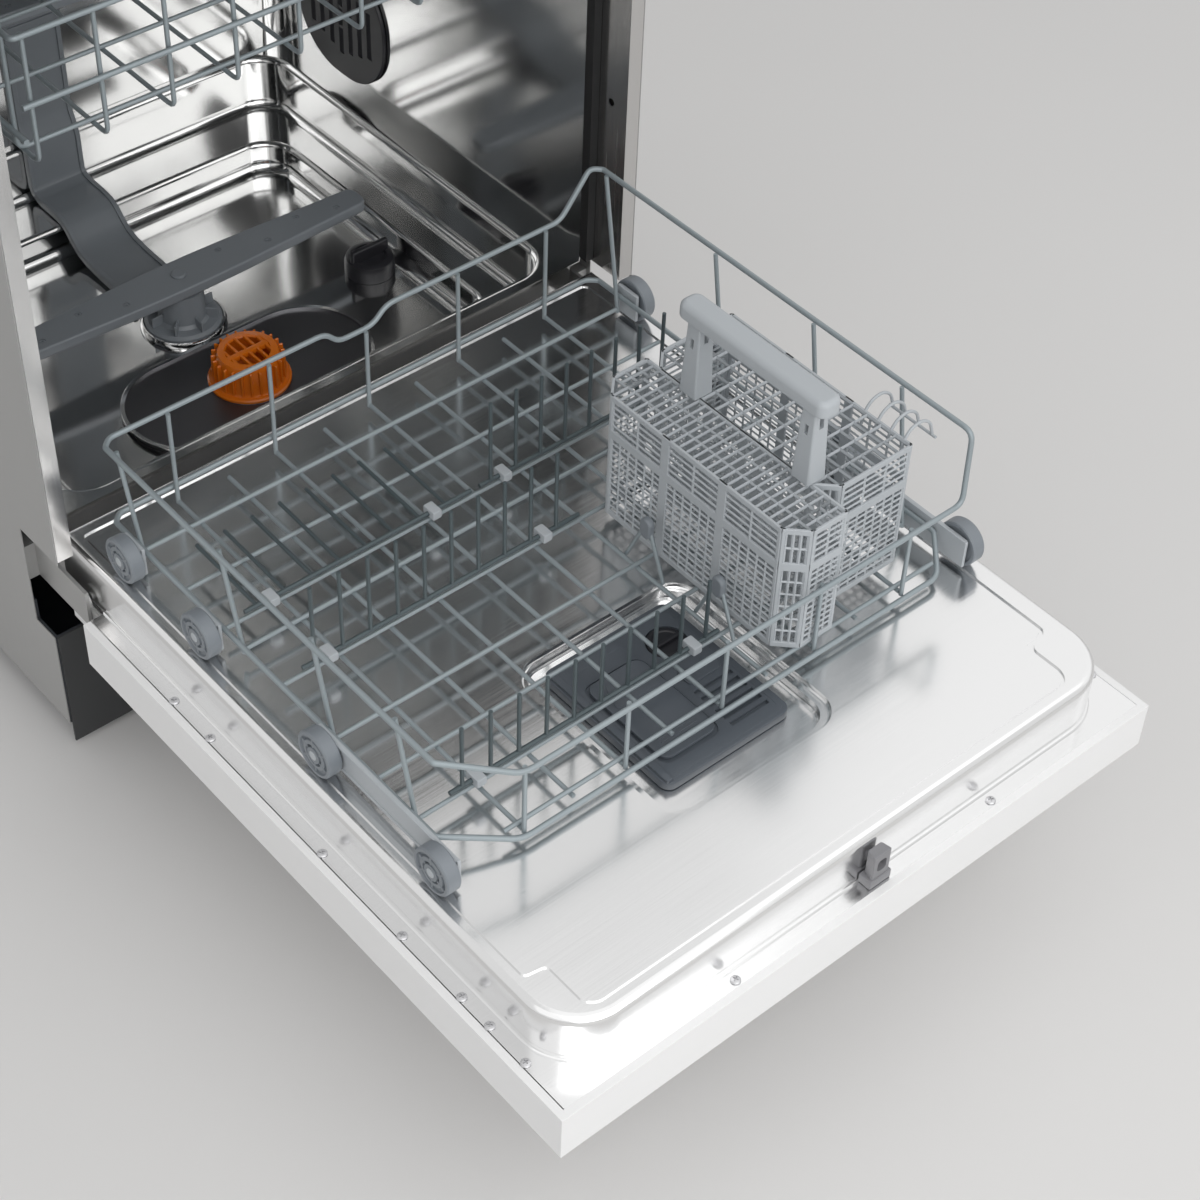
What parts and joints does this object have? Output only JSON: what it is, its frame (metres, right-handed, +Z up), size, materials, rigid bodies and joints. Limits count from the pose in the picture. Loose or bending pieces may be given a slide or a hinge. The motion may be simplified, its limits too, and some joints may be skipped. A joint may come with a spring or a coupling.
{
  "type": "dishwasher",
  "caption": "Built-in dishwasher with fold-down door, wheeled lower rack drawn out on it, cutlery basket, upper rack, spray arms and stepped steel tub.",
  "frame": {"origin": "on the floor, at mid-width, in the plane of the cabinet's front edge", "axes": "+X to the right seen from the front, +Y to the back, +Z up; the door lies open towards -Y"},
  "size_m": [0.598, 1.15, 0.815],
  "materials": {
    "stainless": "bright brushed",
    "galvanised": "matt zinc",
    "screw_steel": "satin",
    "door_board": "matt lacquer",
    "seal_rubber": "matt",
    "base_plastic": "matt",
    "plinth_steel": "matt",
    "iron": "rough",
    "pale_plastic": "matt",
    "black_plastic": "satin",
    "filter_mesh": "micro mesh",
    "duct_grey": "satin",
    "orange_plastic": "gloss",
    "dispenser_plastic": "satin",
    "button_grey": "satin",
    "board_green": "matt",
    "coated_wire": "nylon coat, satin",
    "rack_plastic": "satin",
    "wheel_plastic": "satin",
    "tine_coat": "nylon coat, satin"
  },
  "bodies": {
    "cabinet": {"tub_shell": "stainless", "tub_seal": "seal_rubber", "front_frame": "galvanised", "side_panels": "galvanised", "top_panel": "galvanised", "back_panel": "galvanised", "base_pan": "base_plastic", "plinth_plate": "plinth_steel", "levelling_feet": "base_plastic", "counterweight": "iron", "sump": "base_plastic", "circulation_pump": "base_plastic", "drain_pump": "pale_plastic", "inlet_valve": "pale_plastic", "drain_outlet": "black_plastic", "power_inlet": "black_plastic", "mesh_filter": "filter_mesh", "spray_hub": "duct_grey", "hub_ring": "stainless", "feed_duct": "duct_grey", "vent_grille": "black_plastic", "upper_rails": "galvanised", "hinge_brackets": "galvanised", "door_springs": "galvanised", "latch_catch": "base_plastic"},
    "door": {"door_panel": "door_board", "door_liner": "stainless", "dispenser_body": "dispenser_plastic", "latch_striker": "dispenser_plastic", "door_screws": "screw_steel", "hinge_arms": "galvanised", "door_seal": "seal_rubber", "control_strip": "black_plastic", "control_board": "board_green"},
    "lower_rack": {"rack_floor": "coated_wire", "rack_sides": "coated_wire", "rack_ends": "coated_wire", "rack_mouldings": "rack_plastic"},
    "rear_right_row": {"tines_rear_right": "tine_coat"},
    "rear_left_row": {"tines_rear_left": "tine_coat"},
    "middle_row": {"tines_middle": "tine_coat"},
    "front_row": {"tines_front": "tine_coat"},
    "wheel_pair_1": {"wheels_1": "wheel_plastic"},
    "wheel_pair_2": {"wheels_2": "wheel_plastic"},
    "wheel_pair_3": {"wheels_3": "wheel_plastic"},
    "wheel_pair_4": {"wheels_4": "wheel_plastic"},
    "basket": {"cutlery_basket": "rack_plastic", "basket_handle": "rack_plastic"},
    "upper_rack": {"upper_rack": "coated_wire", "upper_feed_pipe": "duct_grey", "upper_runners": "rack_plastic"},
    "rail_slides": {"rail_slides": "galvanised"},
    "upper_arm": {"upper_spray_arm": "duct_grey"},
    "lower_arm": {"lower_spray_arm": "duct_grey"},
    "filter_cup": {"filter_cup": "orange_plastic"},
    "salt_cap": {"salt_cap": "black_plastic"},
    "detergent_lid": {"detergent_lid": "dispenser_plastic"},
    "rinse_cap": {"rinse_cap": "dispenser_plastic"},
    "power_button": {"power_button": "button_grey"},
    "start_button": {"start_button": "button_grey"}
  },
  "joints": [
    {"name": "door_hinge", "type": "hinge", "parent": "cabinet", "child": "door", "pos_m": [0, 0.026, 0.194], "axis": [-1, 0, 0], "range_deg": [0, 42]},
    {"name": "lower_rack_slide", "type": "slide", "parent": "door", "child": "lower_rack", "axis": [0, -1, 0], "range_m": [-0.497, 0]},
    {"name": "rear_right_fold", "type": "hinge", "parent": "lower_rack", "child": "rear_right_row", "pos_m": [0.108, -0.123, 0.26165], "axis": [-1, 0, 0], "range_deg": [0, 85]},
    {"name": "rear_left_fold", "type": "hinge", "parent": "lower_rack", "child": "rear_left_row", "pos_m": [-0.116, -0.123, 0.26165], "axis": [1, 0, 0], "range_deg": [0, 86]},
    {"name": "middle_fold", "type": "hinge", "parent": "lower_rack", "child": "middle_row", "pos_m": [-0.091, -0.198, 0.26165], "axis": [1, 0, 0], "range_deg": [0, 85]},
    {"name": "front_fold", "type": "hinge", "parent": "lower_rack", "child": "front_row", "pos_m": [-0.086, -0.363, 0.26165], "axis": [-1, 0, 0], "range_deg": [0, 85]},
    {"name": "basket_lift", "type": "slide", "parent": "lower_rack", "child": "basket", "axis": [0, 0, -1], "range_m": [-0.1, 0]},
    {"name": "upper_rack_slide", "type": "slide", "parent": "cabinet", "child": "upper_rack", "axis": [0, 1, 0], "range_m": [-0.44, 0]},
    {"name": "rail_extension", "type": "slide", "parent": "cabinet", "child": "rail_slides", "axis": [0, 1, 0], "range_m": [-0.22, 0]},
    {"name": "upper_arm_spin", "type": "hinge", "parent": "upper_rack", "child": "upper_arm", "pos_m": [0, 0.314, 0.5355], "axis": [0, 0, 1], "continuous": true},
    {"name": "lower_arm_spin", "type": "hinge", "parent": "cabinet", "child": "lower_arm", "pos_m": [0, 0.314, 0.204], "axis": [0, 0, 1], "continuous": true},
    {"name": "filter_lift", "type": "slide", "parent": "cabinet", "child": "filter_cup", "axis": [0, 0, 1], "range_m": [0, 0.09]},
    {"name": "salt_cap_turn", "type": "hinge", "parent": "cabinet", "child": "salt_cap", "pos_m": [0.183, 0.272, 0.165], "axis": [0, 0, 1], "range_deg": [0, 270]},
    {"name": "lid_slide", "type": "slide", "parent": "door", "child": "detergent_lid", "axis": [0, 1, 0], "range_m": [0, 0.045]},
    {"name": "rinse_cap_turn", "type": "hinge", "parent": "door", "child": "rinse_cap", "pos_m": [0.023, -0.329, 0.232], "axis": [0, 0, 1], "range_deg": [0, 90]},
    {"name": "power_press", "type": "slide", "parent": "door", "child": "power_button", "axis": [0, 0, 1], "range_m": [0, 0.002], "stiffness_N_per_m": 400},
    {"name": "start_press", "type": "slide", "parent": "door", "child": "start_button", "axis": [0, 0, 1], "range_m": [0, 0.002], "stiffness_N_per_m": 400},
    {"name": "wheel_spin_1", "type": "hinge", "parent": "lower_rack", "child": "wheel_pair_1", "pos_m": [0, -0.41, 0.26], "axis": [1, 0, 0], "range_deg": [-1450, 5]},
    {"name": "wheel_spin_2", "type": "hinge", "parent": "lower_rack", "child": "wheel_pair_2", "pos_m": [0, -0.272, 0.26], "axis": [1, 0, 0], "range_deg": [-1450, 5]},
    {"name": "wheel_spin_3", "type": "hinge", "parent": "lower_rack", "child": "wheel_pair_3", "pos_m": [0, -0.12, 0.26], "axis": [1, 0, 0], "range_deg": [-1450, 5]},
    {"name": "wheel_spin_4", "type": "hinge", "parent": "lower_rack", "child": "wheel_pair_4", "pos_m": [0, -0.016, 0.26], "axis": [1, 0, 0], "range_deg": [-1450, 5]}
  ],
  "couplings": [
    {"joint": "rail_extension", "follows": "upper_rack_slide", "ratio": 0.5},
    {"joint": "wheel_spin_1", "follows": "lower_rack_slide", "rad_per_m": 50.761},
    {"joint": "wheel_spin_2", "follows": "lower_rack_slide", "rad_per_m": 50.761},
    {"joint": "wheel_spin_3", "follows": "lower_rack_slide", "rad_per_m": 50.761},
    {"joint": "wheel_spin_4", "follows": "lower_rack_slide", "rad_per_m": 50.761}
  ]
}
